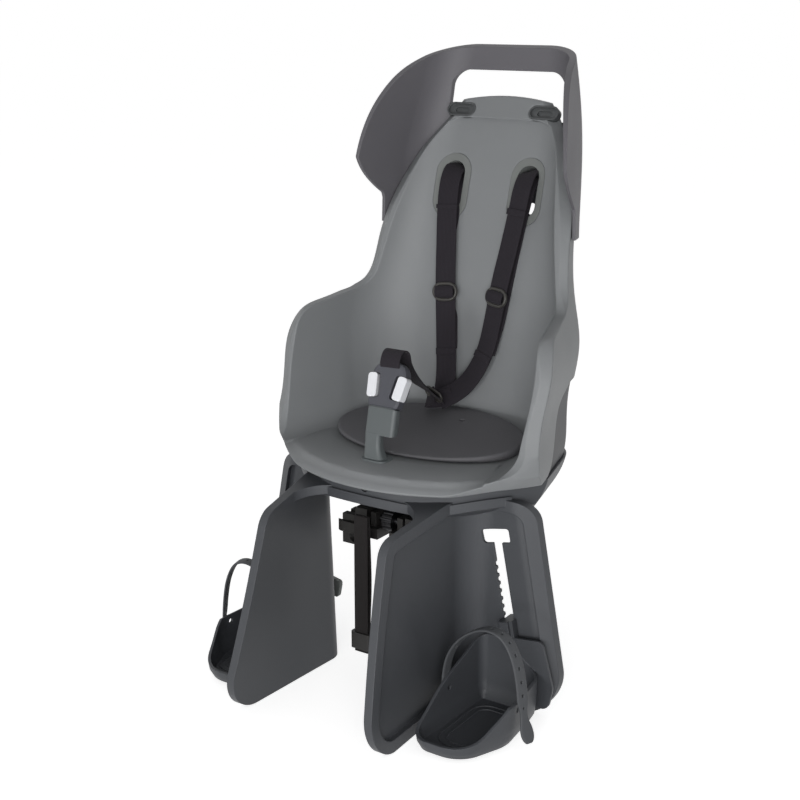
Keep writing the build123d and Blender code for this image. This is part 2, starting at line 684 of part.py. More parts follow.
def make_jaw(side):
    """Hook under a rack tube, with a threaded block on the spindle."""
    top = PAD_BLOCK[2] + GAP
    hook_x = RACK_TUBE_X + RACK_TUBE_RADIUS
    tube_z = -RACK_TUBE_RADIUS
    block = Pos(38, 0, top + 10) * Box(18, JAW_WIDTH, 20)
    arm = Pos((30 + hook_x + 10) / 2, 0, top + 4) * Box(hook_x - 20, JAW_WIDTH, 8)
    hook = Pos(hook_x + 5, 0, (top + tube_z) / 2) * Box(10, JAW_WIDTH, top - tube_z)
    toe = Pos(hook_x - 1, 0, tube_z - 5) * Box(22, JAW_WIDTH, 10)
    jaw = Pos(0, SPINDLE_Y, 0) * (block + arm + hook + toe)
    jaw -= Pos(RACK_TUBE_X, SPINDLE_Y, tube_z) * Rot(90, 0, 0) * Cylinder(RACK_TUBE_RADIUS, 80)
    jaw -= spindle_axis(SPINDLE_RADIUS + GAP, 200)
    return jaw if side > 0 else mirrored(jaw)


def make_spindle():
    """Thumbwheel on a rod that carries opposite threads for the two jaws."""
    wheel = Rot(0, 90, 0) * extrude(Circle(WHEEL_RADIUS), amount=WHEEL_WIDTH / 2, both=True)
    for i in range(18):
        wheel -= Rot(i * 20, 0, 0) * (Pos(0, 0, WHEEL_RADIUS + 0.6) * Rot(0, 90, 0) * Cylinder(1.8, 40))
    return Pos(0, SPINDLE_Y, SPINDLE_Z) * wheel + spindle_axis(SPINDLE_RADIUS, SPINDLE_LENGTH)


def make_bracket_bolts():
    """Bolts from the pad up into the base frame, heads sunk in the pad."""
    length = DECK_BOTTOM - BOLT_SINK + 6
    bolt = Pos(0, 0, BOLT_SINK - 4) * extrude(Circle(BOLT_HEAD), amount=4 - GAP / 2)
    bolt += Pos(0, 0, BOLT_SINK - 1) * extrude(Circle(BOLT_RADIUS), amount=length)
    bolt -= extrude(RegularPolygon(3, 6), amount=BOLT_SINK - 2)
    return Part() + [Pos(*place) * bolt for place in BRACKET_BOLTS]


def make_safety_strap():
    x, y, z = SAFETY_TOP
    front = band([(x, y - 2, z), (x, y - 1.5, SAFETY_BOTTOM)], SAFETY_WIDTH, 1.6)
    back = band([(x, y + 3, z), (x, y + 1.5, SAFETY_BOTTOM)], SAFETY_WIDTH, 1.6)
    return front + back


def make_safety_buckle():
    x, y, _ = SAFETY_TOP
    frame = extrude(RectangleRounded(30, 11, 4), amount=11, both=True)
    frame -= Box(SAFETY_WIDTH + 1, 6.4, 60)
    return Pos(x, y, SAFETY_BOTTOM + 8) * frame


def tray_solid(wall=0.0):
    """The heel cup as a block, or its cavity where a wall is given."""
    outline = make_face(FilletPolyline(*TRAY_OUTLINE, radius=TRAY_RADII, close=True))
    sections = []
    for height, inset in TRAY_LEVELS:
        face = offset(outline, -inset - wall) if inset + wall else outline
        sections.append(Pos(0, 0, TRAY_FLOOR + height + wall) * face)
    return loft(sections, ruled=True)


def tray_rim():
    """Everything above the heel cup's rim."""
    toe, heel = TRAY_RIM[0], TRAY_RIM[-1]
    rest = Polyline(heel, (FAR, heel[1]), (FAR, FAR), (-FAR, FAR), (-FAR, toe[1]), toe)
    inner, outer = HEEL_RIM[0], HEEL_RIM[-1]
    over = Polyline(outer, (FAR, outer[1]), (FAR, FAR), (-FAR, FAR), (-FAR, inner[1]), inner)
    return side_prism([Spline(*TRAY_RIM), rest]) + front_prism([Spline(*HEEL_RIM), over])


def stem_place():
    """Where the footrest's stem passes through the slot."""
    x = SLOT_TOP[0] + SLOT_LEAN * (SLOT_TOP[1] - STEM_HEIGHT)
    return Pos(x, 0, STEM_HEIGHT) * Rot(0, -math.degrees(math.atan(SLOT_LEAN)), 0)


def make_footrest():
    """Heel cup with a low toe rim, on a stem through the guard's slot."""
    tray = tray_solid() - tray_solid(TRAY_WALL) - tray_rim()
    tread = Pos(170, -116, TRAY_FLOOR + TRAY_WALL)
    for inset in (0, 9):
        ring = RectangleRounded(62 - 2 * inset, 112 - 2 * inset, 24 - inset)
        ring -= RectangleRounded(58 - 2 * inset, 108 - 2 * inset, 22 - inset)
        tray += tread * extrude(ring, amount=1.2)
    panel = make_face(FilletPolyline(*PANEL_OUTLINE, radius=[6, 9, 20, 12, 6], close=True))
    tray += Pos(0, PANEL_REAR, 0) * extrude(Plane.XZ * panel, amount=TRAY_WALL)
    rear = GUARD_REAR_Y + BASE_WALL
    wide, deep, tall = STEM_PAD
    pad = Pos(0, GUARD_REAR_Y - PAD_GAP - deep / 2, (STEM_LENGTH - tall) / 2) * Box(wide, deep, tall)
    pad = stem_place() * pad
    stem = stem_place() * (Pos(0, rear - 5, 0) * Box(SLOT_WIDTH - 2 * GAP, 30, STEM_LENGTH))
    bore = stem_place() * (Pos(0, rear, 0) * Rot(90, 0, 0) * Cylinder(3 + GAP, 60))
    tray += pad + stem
    for x, z, _ in STRAP_STUDS:
        tray -= Pos(x, FOOT_STRAP_Y, z) * Rot(0, 90, 0) * Cylinder(STUD_RADIUS + GAP, 20)
    return tray - (bore & (Pos(0, rear + 10, 0) * Box(900, 32, 900)))


def make_clip():
    """Release lever behind the guard, which turns on the stem and hooks round the slot's edge."""
    rear = GUARD_REAR_Y + BASE_WALL + 10 + GAP + CLIP_THICK / 2
    plate = SlotOverall(34, 20)
    arm = Pos(-30, 0) * RectangleRounded(52, 11, 4)
    hook = Pos(-52, -8) * RectangleRounded(9, 22, 4)
    lever = extrude(Plane.XZ * (plate + arm + hook), amount=CLIP_THICK / 2, both=True)
    pivot = Pos(0, -10, 0) * Rot(90, 0, 0) * Cylinder(3, 16)
    return stem_place() * (Pos(0, rear, 0) * (lever + pivot))


def make_foot_strap():
    """Rubber strap over the foot, with a row of triangular holes and a tail outside the tray."""
    path = FilletPolyline(*FOOT_STRAP_PATH, radius=14)
    strap = extrude(Plane.XZ * trace(path, FOOT_STRAP_THICK), amount=FOOT_STRAP_WIDTH / 2, both=True)
    for x, z in FOOT_STRAP_PATH[2:7]:
        outward = Vector(x - 165, 0, z + 150).normalized()
        hole = Plane(origin=(x, 0, z), x_dir=(0, 1, 0), z_dir=outward)
        strap -= hole * extrude(RegularPolygon(3.6, 3), amount=8, both=True)
    for x, z, way in STRAP_STUDS:
        stud = Cylinder(STUD_RADIUS, 14) + Pos(0, 0, 8.5) * Cylinder(STUD_RADIUS + 2, 3)
        strap += Pos(x, 0, z) * Rot(0, way * 90, 0) * stud
    return Pos(0, FOOT_STRAP_Y, 0) * strap


def make_harness_bar(side):
    """Bar behind the rear shell that the shoulder strap loops round."""
    bar = extrude(RectangleRounded(GUIDE_SIZE[1] + 8, 11, 4), amount=6)
    return guide_plane(side) * (Pos(0, 22, -GUIDE_DEPTH - 6 - GAP) * bar)


def lip_screw():
    """Place of the screw sunk in the apron, on the rear shell's front."""
    return Plane(origin=(0, LIP_CENTRE_Y - LIP_RADIUS + CUP_FRONT, LIP_SCREW_Z), z_dir=(0, -1, 0))


def screw_places():
    """Screw positions on the rear shell's outside, each with its outward direction."""
    skin = rear_skin()
    places = [lip_screw()]
    for x, z in SCREW_SPOTS:
        point, normal = skin.find_intersection_points(Axis((x, FAR, z), (0, -1, 0)))[0]
        places.append(Plane(origin=tuple(point), z_dir=tuple(normal)))
    return places


def make_screws():
    head = extrude(Circle(SCREW_HEAD), amount=2.8)
    head = fillet(head.edges().sort_by(Axis.Z)[-1], 1.2)
    screw = Pos(0, 0, GAP / 2) * head + Pos(0, 0, -9) * extrude(Circle(SCREW_RADIUS), amount=10)
    screw -= Pos(0, 0, 1.4) * extrude(RegularPolygon(2.2, 6), amount=4)
    return Part() + [place * screw for place in screw_places()]


NODES = {
    "left_harness_guide": lambda: make_guide(-1),
    "right_harness_guide": lambda: make_guide(1),
    "left_crown_socket": lambda: make_socket(-1),
    "right_crown_socket": lambda: make_socket(1),
    "seat_pad": make_seat_pad,
    "crotch_post": make_crotch_post,
    "harness_buckle": make_buckle,
    "left_release_button": lambda: buckle_frame(button_solid(-1)),
    "right_release_button": lambda: buckle_frame(button_solid(1)),
    "left_shoulder_strap": lambda: make_shoulder_strap(-1),
    "right_shoulder_strap": lambda: make_shoulder_strap(1),
    "left_strap_adjuster": lambda: make_adjuster(-1),
    "right_strap_adjuster": lambda: make_adjuster(1),
    "centre_strap": make_centre_strap,
    "bracket_bolts": make_bracket_bolts,
    "housing_screws": make_screws,
    "rack_bracket": make_rack_bracket,
    "left_rack_jaw": lambda: make_jaw(-1),
    "right_rack_jaw": lambda: make_jaw(1),
    "clamp_spindle": make_spindle,
    "safety_strap": make_safety_strap,
    "safety_buckle": make_safety_buckle,
    "right_footrest": make_footrest,
    "left_footrest": lambda: mirrored(make_footrest()),
    "right_footrest_clip": make_clip,
    "left_footrest_clip": lambda: mirrored(make_clip()),
    "right_foot_strap": make_foot_strap,
    "left_foot_strap": lambda: mirrored(make_foot_strap()),
    "left_harness_bar": lambda: make_harness_bar(-1),
    "right_harness_bar": lambda: make_harness_bar(1),
    "base_frame": make_base_frame,
    "head_wing": make_head_wing,
    "rear_shell": make_rear_shell,
    "seat_shell": make_seat_shell,
}

if __name__ == "__main__":
    for node, maker in NODES.items():
        export_step(maker(), f"parts/{node}.step")
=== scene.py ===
"""Finishes, soft parts and stage of a rear child bicycle seat, laid out as a Blender add-on."""

import math

import bmesh
import bpy
from mathutils import Matrix, Vector


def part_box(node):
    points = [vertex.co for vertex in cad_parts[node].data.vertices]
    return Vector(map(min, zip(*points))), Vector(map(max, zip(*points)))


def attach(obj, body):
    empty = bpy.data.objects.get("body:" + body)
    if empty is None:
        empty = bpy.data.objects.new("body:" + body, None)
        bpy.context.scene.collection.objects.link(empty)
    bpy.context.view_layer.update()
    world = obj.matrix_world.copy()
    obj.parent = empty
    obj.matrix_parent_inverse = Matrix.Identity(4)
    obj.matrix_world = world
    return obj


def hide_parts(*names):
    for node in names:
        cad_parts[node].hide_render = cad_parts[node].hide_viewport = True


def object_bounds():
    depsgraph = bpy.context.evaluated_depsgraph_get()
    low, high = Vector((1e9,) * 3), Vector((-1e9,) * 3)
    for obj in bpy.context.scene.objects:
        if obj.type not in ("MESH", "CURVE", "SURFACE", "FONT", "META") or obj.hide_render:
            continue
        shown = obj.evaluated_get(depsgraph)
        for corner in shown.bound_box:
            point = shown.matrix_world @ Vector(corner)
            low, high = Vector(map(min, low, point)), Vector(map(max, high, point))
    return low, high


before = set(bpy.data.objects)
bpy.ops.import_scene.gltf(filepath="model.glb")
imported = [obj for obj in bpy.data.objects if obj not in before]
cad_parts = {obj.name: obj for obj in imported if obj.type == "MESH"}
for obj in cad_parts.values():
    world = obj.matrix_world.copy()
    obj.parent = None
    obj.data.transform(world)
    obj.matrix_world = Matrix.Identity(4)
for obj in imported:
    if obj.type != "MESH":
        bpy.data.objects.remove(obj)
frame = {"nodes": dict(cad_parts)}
CAD_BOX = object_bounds()

bl_info = {
    "name": "Child Bicycle Seat",
    "version": (1, 0, 0),
    "blender": (4, 5, 0),
    "location": "3D View > Sidebar > Bicycle Seat",
    "description": "Dresses the seat's moulded parts, makes its pad and webbing, and sets the studio",
    "category": "Object",
}

SIDES = {"left": -1, "right": 1}

# Points nearer than this are one point, and edges sharper than this angle stay creases
MERGE = 1e-5
CREASE = math.radians(28)

# Middle lines of the straps, in millimetres, as the control points of smooth curves
SHOULDER_ROUTES = {
    "left": [(-56, 200, 440), (-56, 184, 440), (-55, 169, 422), (-53, 160, 388), (-48, 151, 338), (-44, 143, 296),
             (-39, 137, 248), (-34, 131, 202), (-28, 122, 160), (-27, 112, 142)],
    "right": [(56, 200, 440), (56, 184, 440), (55, 169, 422), (53, 160, 388), (46, 151, 338), (39, 143, 296),
              (34, 137, 250), (28, 130, 206), (10, 119, 166), (-12, 107, 146), (-24, 101, 142)],
}
RETURN_ROUTES = {
    "left": [(-56, 200, 430), (-55, 184, 425), (-53, 168, 388), (-47, 157, 318), (-40, 145, 252), (-37, 139, 224),
             (-34, 133.5, 203)],
    "right": [(56, 200, 430), (55, 184, 425), (53, 168, 388), (43, 157, 318), (36, 145, 252), (31, 138, 224),
              (28, 132, 205)],
}
CENTRE_ROUTE = [(-25, 94, 144), (-21, 80, 153), (-14, 42, 172), (-6, 0, 200), (-1, -24, 222), (0, -28, 236),
                (0, -36, 241), (0, -45, 241), (0, -51, 233), (0, -53, 224), (0, -49, 217)]
SAFETY_ROUTES = {
    "front": [(-16, -93, 38), (-16, -93.6, -30), (-16, -93.6, -90), (-16, -93.6, -146)],
    "back": [(-16, -89, 38), (-16, -86, -20), (-16, -85, -60), (-16, -88, -100), (-16, -90.4, -146)],
}
FOLD_ROUTE = [(-10, 108, 146), (-24, 102, 142), (-36, 95, 140), (-37, 87, 143), (-27, 82, 149), (-19, 79, 154)]
LOOP_ROUTE = [(0, -8.4, -2), (0, -7.4, 2.6), (0, -3, 5.2), (0, 3, 5.2), (0, 7.4, 2.6), (0, 8.4, -2)]
FOOT_ROUTE = [(121, -112, -157), (121, -112, -118), (136, -112, -84), (160, -112, -62), (184, -112, -53),
              (206, -112, -60), (220, -112, -86), (226, -112, -116), (229, -112, -146), (233, -113, -166),
              (241, -116, -184)]

# Way that a strap's face looks, or that its width lies at its start and at its end
SHOULDER_FACING = {"left": (0.16, -1, 0.3), "right": (-0.16, -1, 0.3)}
CENTRE_TURN = [(0.85, 0, -0.45), (1, 0, 0.1)]
FOLD_TURN = [(0.1, 0.2, 1)]
FOOT_TURN = {"left": [(0, 1, 0), (-0.5, 1, 0)], "right": [(0, 1, 0), (0.5, 1, 0)]}

# Widths as shares of a strap's width: along a foot strap, at shares of its length, and of the small pieces
FOOT_OUTLINE = ((0, 1), (0.82, 1), (0.87, 0.6), (0.90, 0.7), (0.94, 1.15), (0.98, 1.1), (1, 0.6))
KEEPER_SHARE = 1.08
LOOP_SHARE = 0.94
FOLD_SHARE = 0.8

# Heights in metres between which the hem is sewn and the keeper lies
HEM = (0.195, 0.206)
KEEPER = (0.384, 0.393)

# Slider where the straps meet, in metres: width, height, and width and depth of its bar; then how it lies
SLIDER_SIZE = (0.032, 0.017, 0.0042, 0.0034)
SLIDER_PLACE = Vector((-0.0215, 0.081, 0.1535))
SLIDER_ACROSS = Vector((0.8, 0, -0.6))
SLIDER_ALONG = Vector((0.3, -0.35, 0.9))

# Width of an adjuster's bar and the adjuster's place in front of its strap's middle line, in metres
ADJUSTER_BAR = 0.0046
ADJUSTER_LIFT = 0.002

# Holes in a foot strap: the stretch they take in metres, rows from one to the next, rim, and how pointed they are
HOLE_STRETCH = (0.07, 0.245)
HOLE_STEP = 3
HOLE_RIM = 0.0005
HOLE_POINT = 0.8

# Front edge of the bucket in the solid, in metres: centre and radius of its plan, growth of the radius to the
# sides between two heights, top of the floor, foot of the skirt, and depths at which the skirt's wall ends
LIP_CENTRE = 0.084
LIP_RADIUS = 0.212
LIP_GROW = 0.016
LIP_LOW, LIP_HIGH = 0.093, 0.111
PAN_TOP = 0.107
SKIRT_FOOT = 0.096
SKIRT_WALL = (0.009, 0.015)

# Roll that is put on that edge, in metres: depths of its crest and of its end, rise of the crest, fall of the
# skirt's foot, height left on the skirt and distances from the middle where it fades; then the bounds of what is
# moved (the last as a share of the skirt's height), the longest edge left there and the rounds of cutting
LIP_REACH = (0.060, 0.078)
LIP_CREST = 0.003
LIP_FALL = 0.007
LIP_BAND = 0.002
LIP_FADE = (0.105, 0.165)
LIP_FRONT = -0.004
LIP_BACK = 0.03
LIP_SLACK = 0.02
LIP_GRAIN = 0.005
LIP_CUTS = 7

# Back of the right harness slot in metres: its foot, the way up it, its half width, its plate's height, the
# radius of the plate's hole and the plate's thickness
GUIDE_FOOT = Vector((0.056, 0.188, 0.3753))
GUIDE_UP = Vector((0, 0.305, 0.952))
GUIDE_HALF = 0.0162
GUIDE_RISE = 0.068
GUIDE_HOLE = 0.0075
GUIDE_PLATE = 0.002

# Seat pad from its floor up and in: inset from the outline in metres, share of the way from floor to top
PAD_WALL = ((0.0080, 0.0), (0.0024, 0.04), (0.0008, 0.30), (0.0, 0.52), (0.0, 0.78), (0.0008, 0.93),
            (0.0022, 1.0), (0.0045, 1.0))
# Rings of the pad's top, as shares of the way from the wall to the vent
PAD_TOP_RINGS = (0.10, 0.24, 0.40, 0.56, 0.70, 0.82, 0.92, 1.0)
# Height of the pad's floor over the solid's, and depth of the vent, in metres
PAD_LIFT = 0.0004
VENT_DEPTH = 0.009

# Softboxes: place and size in metres, and the setting that gives the power; then the point they are set on
LAMPS = {
    "key_softbox": ((1.25, -2.1, 0.3), 1.4, "key_power"),
    "fill_softbox": ((0.1, -2.2, 0.0), 0.36, "fill_power"),
    "rim_softbox": ((-0.6, 1.7, 1.3), 0.9, "rim_power"),
}
LAMP_AIM = Vector((0, 0.03, 0.15))

# Floor: gap under the seat and half size in metres, and its grey
FLOOR_GAP = 0.0005
FLOOR_HALF = 14
FLOOR_GREY = 0.8


class SeatColours(bpy.types.PropertyGroup):
    """Base colours of the seat's finishes, linear."""

    front_shell: bpy.props.FloatVectorProperty(
        name="Front shell", description="Cool grey of the bucket", subtype="COLOR",
        size=3, min=0, max=1, default=(0.190, 0.198, 0.204))
    rear_shell: bpy.props.FloatVectorProperty(
        name="Rear shell", description="Dark grey of the shell behind the bucket", subtype="COLOR",
        size=3, min=0, max=1, default=(0.048, 0.050, 0.055))
    wing: bpy.props.FloatVectorProperty(
        name="Head wing", description="Violet-tinted dark grey of the wing and handle", subtype="COLOR",
        size=3, min=0, max=1, default=(0.105, 0.102, 0.112))
    frame: bpy.props.FloatVectorProperty(
        name="Base frame", description="Anthracite of the frame, leg guards and strap bars", subtype="COLOR",
        size=3, min=0, max=1, default=(0.052, 0.055, 0.061))
    footrest: bpy.props.FloatVectorProperty(
        name="Footrests", description="Anthracite of the footrests", subtype="COLOR",
        size=3, min=0, max=1, default=(0.048, 0.051, 0.057))
    guide: bpy.props.FloatVectorProperty(
        name="Harness guides", description="Grey of the guides in the backrest", subtype="COLOR",
        size=3, min=0, max=1, default=(0.155, 0.163, 0.158))
    socket: bpy.props.FloatVectorProperty(
        name="Crown sockets", description="Dark grey of the two sockets", subtype="COLOR",
        size=3, min=0, max=1, default=(0.07, 0.074, 0.076))
    post: bpy.props.FloatVectorProperty(
        name="Crotch post", description="Grey-green of the post", subtype="COLOR",
        size=3, min=0, max=1, default=(0.092, 0.103, 0.106))
    buckle: bpy.props.FloatVectorProperty(
        name="Buckle", description="Blue-tinted dark grey of the buckle", subtype="COLOR",
        size=3, min=0, max=1, default=(0.066, 0.068, 0.080))
    button: bpy.props.FloatVectorProperty(
        name="Release buttons", description="Pale grey of the buttons", subtype="COLOR",
        size=3, min=0, max=1, default=(0.72, 0.73, 0.76))
    bracket: bpy.props.FloatVectorProperty(
        name="Rack bracket", description="Near-black of the bracket and jaws", subtype="COLOR",
        size=3, min=0, max=1, default=(0.022, 0.021, 0.020))
    clip: bpy.props.FloatVectorProperty(
        name="Footrest clips", description="Grey-green of the release clips", subtype="COLOR",
        size=3, min=0, max=1, default=(0.13, 0.14, 0.135))
    webbing: bpy.props.FloatVectorProperty(
        name="Webbing", description="Near-black of the harness webbing", subtype="COLOR",
        size=3, min=0, max=1, default=(0.026, 0.023, 0.028))
    foam: bpy.props.FloatVectorProperty(
        name="Seat pad", description="Dark grey of the foam pad", subtype="COLOR",
        size=3, min=0, max=1, default=(0.118, 0.117, 0.125))
    rubber: bpy.props.FloatVectorProperty(
        name="Foot straps", description="Dark grey of the rubber straps", subtype="COLOR",
        size=3, min=0, max=1, default=(0.058, 0.061, 0.066))
    adjuster: bpy.props.FloatVectorProperty(
        name="Adjusters", description="Warm black of the adjusters and the slider", subtype="COLOR",
        size=3, min=0, max=1, default=(0.042, 0.040, 0.037))
    safety: bpy.props.FloatVectorProperty(
        name="Safety strap", description="Warm near-black of the safety strap", subtype="COLOR",
        size=3, min=0, max=1, default=(0.022, 0.020, 0.020))
    zinc: bpy.props.FloatVectorProperty(
        name="Screws", description="Grey of the plated screws, bolts and spindle", subtype="COLOR",
        size=3, min=0, max=1, default=(0.10, 0.10, 0.105))


class SeatSizes(bpy.types.PropertyGroup):
    """Sizes of the soft parts and of the fittings on them."""

    webbing_width: bpy.props.FloatProperty(
        name="Webbing width", description="Width of the harness webbing", unit="LENGTH", default=0.028)
    webbing_thickness: bpy.props.FloatProperty(
        name="Webbing thickness", description="Thickness of one layer", unit="LENGTH", default=0.0018)
    safety_width: bpy.props.FloatProperty(
        name="Safety strap width", description="Width of the strap under the seat", unit="LENGTH", default=0.020)
    rubber_width: bpy.props.FloatProperty(
        name="Foot strap width", description="Width of the rubber straps", unit="LENGTH", default=0.0165)
    rubber_thickness: bpy.props.FloatProperty(
        name="Foot strap thickness", description="Thickness of the rubber straps", unit="LENGTH", default=0.0034)
    pad_half: bpy.props.FloatVectorProperty(
        name="Pad half size", description="Half width and half depth of the seat pad", unit="LENGTH",
        size=2, default=(0.1325, 0.0855))
    pad_middle: bpy.props.FloatVectorProperty(
        name="Pad middle", description="Middle of the pad's top", subtype="XYZ", unit="LENGTH",
        size=3, default=(0.0, 0.038, 0.1205))
    pad_tilt: bpy.props.FloatProperty(
        name="Pad tilt", description="Rise of the pad's top towards the back", subtype="ANGLE",
        default=math.radians(5.5))
    pad_crown: bpy.props.FloatProperty(
        name="Pad crown", description="Swell of the pad's middle", unit="LENGTH", default=0.0018)
    pad_vent: bpy.props.FloatVectorProperty(
        name="Pad vent", description="Place and radius of the vent in the pad", unit="LENGTH",
        size=3, default=(0.024, 0.079, 0.0042))
    adjuster: bpy.props.FloatVectorProperty(
        name="Adjuster", description="Width, height and depth of a strap adjuster", unit="LENGTH",
        size=3, default=(0.036, 0.026, 0.0052))


class SeatStage(bpy.types.PropertyGroup):
    """Camera and light."""

    azimuth: bpy.props.FloatProperty(
        name="Azimuth", description="Camera's turn round the seat", subtype="ANGLE",
        default=math.radians(34))
    elevation: bpy.props.FloatProperty(
        name="Elevation", description="Camera's angle above the horizon", subtype="ANGLE",
        default=math.radians(16))
    distance: bpy.props.FloatProperty(
        name="Distance", description="Camera to the point it is set on", unit="LENGTH", default=1.8167)
    aim: bpy.props.FloatVectorProperty(
        name="Aim", description="Point that the camera is set on", subtype="XYZ", unit="LENGTH",
        size=3, default=(0.0, 0.0627, 0.15325))
    pan: bpy.props.FloatProperty(
        name="Pan", description="Shift of the aim to the right of the frame's middle", unit="LENGTH",
        default=0.0519)
    lens: bpy.props.FloatProperty(
        name="Lens", description="Focal length on a 36 mm sensor, in millimetres", default=63.0)
    key_power: bpy.props.FloatProperty(
        name="Key light", description="Power of the large softbox", unit="POWER", default=40.0)
    fill_power: bpy.props.FloatProperty(
        name="Fill light", description="Power of the low light in front", unit="POWER", default=12.0)
    rim_power: bpy.props.FloatProperty(
        name="Rim light", description="Power of the light behind the seat", unit="POWER", default=1.5)
    ambient: bpy.props.FloatProperty(
        name="Ambient", description="Strength of the studio's even light", default=0.37)


class ShaderTree:
    """Short way to add and join the nodes of one material."""

    def __init__(self, name):
        self.material = bpy.data.materials.new(name)
        self.material.use_nodes = True
        self.nodes = self.material.node_tree.nodes
        self.shader = self.nodes["Principled BSDF"]
        self.coordinates = self.nodes.new("ShaderNodeTexCoord")

    def add(self, kind, inputs=None, **settings):
        node = self.nodes.new(f"ShaderNode{kind}")
        for key, value in settings.items():
            setattr(node, key, value)
        for key, value in (inputs or {}).items():
            self.set(node, key, value)
        return node

    def set(self, node, key, value):
        if isinstance(value, bpy.types.NodeSocket):
            self.material.node_tree.links.new(value, node.inputs[key])
        else:
            node.inputs[key].default_value = value

    def finish(self, **inputs):
        for key, value in inputs.items():
            self.set(self.shader, key.replace("_", " ").title().replace("Ior", "IOR"), value)
        return self.material


def shades(colour, spread):
    """A darker and a lighter version of one colour, with alpha."""
    dark = [c * (1 - spread) for c in colour]
    light = [min(1, c * (1 + spread)) for c in colour]
    return (*dark, 1), (*light, 1)


def moulded_plastic(name, colour, roughness=0.5, grain=900, depth=0.00012, round_edge=0.0008, edge_highlight=0.25):
    """Spark-eroded plastic: fine grain, slow shifts of tone, rounded edges, and a painted highlight that lightens
    those edges.
    """
    tree = ShaderTree(name)
    place = tree.coordinates.outputs["Object"]
    drift = tree.add("TexNoise", {"Vector": place, "Scale": 7.0, "Detail": 3.0})
    dark, light = shades(colour, 0.07)
    tone = tree.add("Mix", {"Factor": drift.outputs["Fac"], "A": dark, "B": light}, data_type="RGBA")
    soft = tree.add("Bevel", {"Radius": round_edge}, samples=12)
    flat = tree.add("NewGeometry")
    turn = tree.add(
        "VectorMath", {0: soft.outputs["Normal"], 1: flat.outputs["Normal"]}, operation="DOT_PRODUCT")
    # Painted edge highlight: the colour turns towards a pale shade where the rounded normal leans away from the flat
    # one
    edge = tree.add(
        "MapRange", {"Value": turn.outputs["Value"], "From Min": 0.995, "From Max": 0.72, "To Max": edge_highlight})
    highlighted = tree.add(
        "Mix", {"Factor": edge.outputs["Result"], "A": tone.outputs["Result"], "B": shades(colour, 0.6)[1]},
        data_type="RGBA")
    cells = tree.add("TexNoise", {"Vector": place, "Scale": grain, "Detail": 2.0})
    pores = tree.add("TexVoronoi", {"Vector": place, "Scale": grain * 0.7})
    height = tree.add("Math", {0: cells.outputs["Fac"], 1: pores.outputs["Distance"]}, operation="ADD")
    bump = tree.add(
        "Bump", {"Strength": 0.55, "Distance": depth, "Height": height.outputs["Value"],
                 "Normal": soft.outputs["Normal"]})
    gloss = tree.add(
        "MapRange", {"Value": drift.outputs["Fac"], "From Min": 0.3, "From Max": 0.7,
                     "To Min": roughness - 0.05, "To Max": roughness + 0.05})
    return tree.finish(
        base_color=highlighted.outputs["Result"], roughness=gloss.outputs["Result"], normal=bump.outputs["Normal"],
        specular_ior_level=0.3)


def foam(name, colour):
    """Closed-cell foam with a fine leather-like skin."""
    tree = ShaderTree(name)
    place = tree.coordinates.outputs["Object"]
    cells = tree.add("TexVoronoi", {"Vector": place, "Scale": 620.0}, feature="DISTANCE_TO_EDGE")
    creases = tree.add("MapRange", {"Value": cells.outputs["Distance"], "From Max": 0.18})
    blotch = tree.add("TexNoise", {"Vector": place, "Scale": 14.0, "Detail": 4.0})
    dark, light = shades(colour, 0.12)
    tone = tree.add("Mix", {"Factor": blotch.outputs["Fac"], "A": dark, "B": light}, data_type="RGBA")
    bump = tree.add("Bump", {"Strength": 0.5, "Distance": 0.00025, "Height": creases.outputs["Result"]})
    gloss = tree.add("MapRange", {"Value": blotch.outputs["Fac"], "To Min": 0.55, "To Max": 0.75})
    return tree.finish(
        base_color=tone.outputs["Result"], roughness=gloss.outputs["Result"], normal=bump.outputs["Normal"],
        specular_ior_level=0.2)


def woven_webbing(name, colour):
    """Ribbed polyester webbing on the strap's own map in metres: long ribs crossed by threads, with fuzz."""
    tree = ShaderTree(name)
    place = tree.coordinates.outputs["UV"]
    ribs = tree.add(
        "TexWave", {"Vector": place, "Scale": 165.0, "Distortion": 0.4, "Detail": 1.0}, bands_direction="X")
    threads = tree.add(
        "TexWave", {"Vector": place, "Scale": 230.0, "Distortion": 0.6, "Detail": 1.0}, bands_direction="Y")
    weave = tree.add("Math", {0: ribs.outputs["Fac"], 1: threads.outputs["Fac"]}, operation="MULTIPLY")
    fuzz = tree.add("TexNoise", {"Vector": place, "Scale": 900.0, "Detail": 3.0})
    mixed = tree.add(
        "Mix", {"Factor": 0.35, "A": weave.outputs["Value"], "B": fuzz.outputs["Fac"]}, data_type="FLOAT")
    dark, light = shades(colour, 0.35)
    tone = tree.add("Mix", {"Factor": mixed.outputs["Result"], "A": dark, "B": light}, data_type="RGBA")
    bump = tree.add("Bump", {"Strength": 0.7, "Distance": 0.0004, "Height": mixed.outputs["Result"]})
    gloss = tree.add("MapRange", {"Value": weave.outputs["Value"], "To Min": 0.85, "To Max": 0.6})
    return tree.finish(
        base_color=tone.outputs["Result"], roughness=gloss.outputs["Result"], normal=bump.outputs["Normal"],
        specular_ior_level=0.08, sheen_weight=0.05, sheen_roughness=0.5)


def plated_steel(name, colour):
    """Zinc-plated steel with faint cloudy patches."""
    tree = ShaderTree(name)
    place = tree.coordinates.outputs["Object"]
    cloud = tree.add("TexNoise", {"Vector": place, "Scale": 160.0, "Detail": 5.0})
    dark, light = shades(colour, 0.2)
    tone = tree.add("Mix", {"Factor": cloud.outputs["Fac"], "A": dark, "B": light}, data_type="RGBA")
    gloss = tree.add("MapRange", {"Value": cloud.outputs["Fac"], "To Min": 0.28, "To Max": 0.48})
    return tree.finish(base_color=tone.outputs["Result"], roughness=gloss.outputs["Result"], metallic=1.0)


